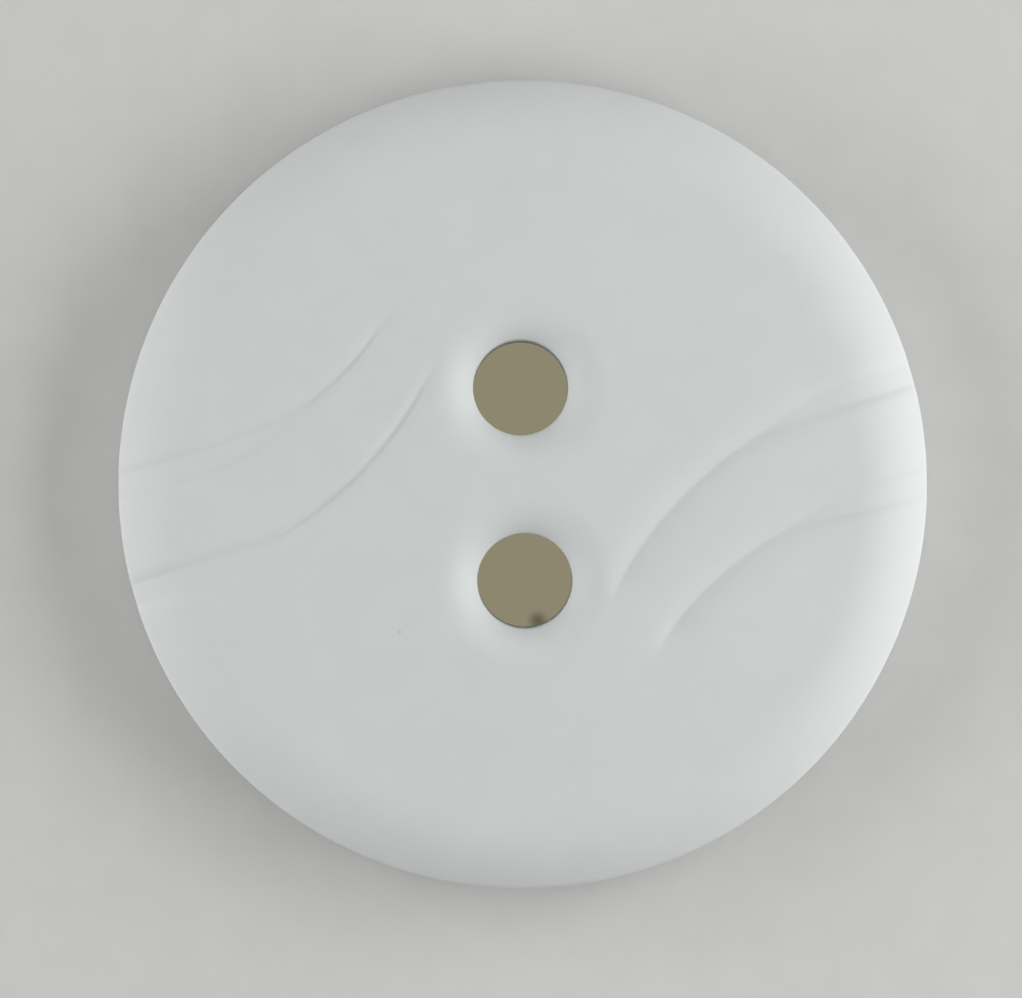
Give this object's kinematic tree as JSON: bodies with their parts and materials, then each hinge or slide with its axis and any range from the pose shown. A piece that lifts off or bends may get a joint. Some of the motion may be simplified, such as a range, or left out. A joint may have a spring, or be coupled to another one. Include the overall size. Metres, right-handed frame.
{
  "type": "sewing button",
  "caption": "Round, slightly domed sewing button with sewing holes in softly dished mouths and curved grooves that fade into the face.",
  "frame": {"origin": "middle of the flat back, where the button lies on a table or on the cloth", "axes": "+Z out of the domed face, +Y from the middle to the upper sewing hole, +X to the right of the face"},
  "size_m": [0.02, 0.02, 0.0032],
  "materials": {
    "button": "matt cool white moulded polyester, tumbled smooth"
  },
  "bodies": {
    "root": {"button": "button"}
  },
  "joints": []
}
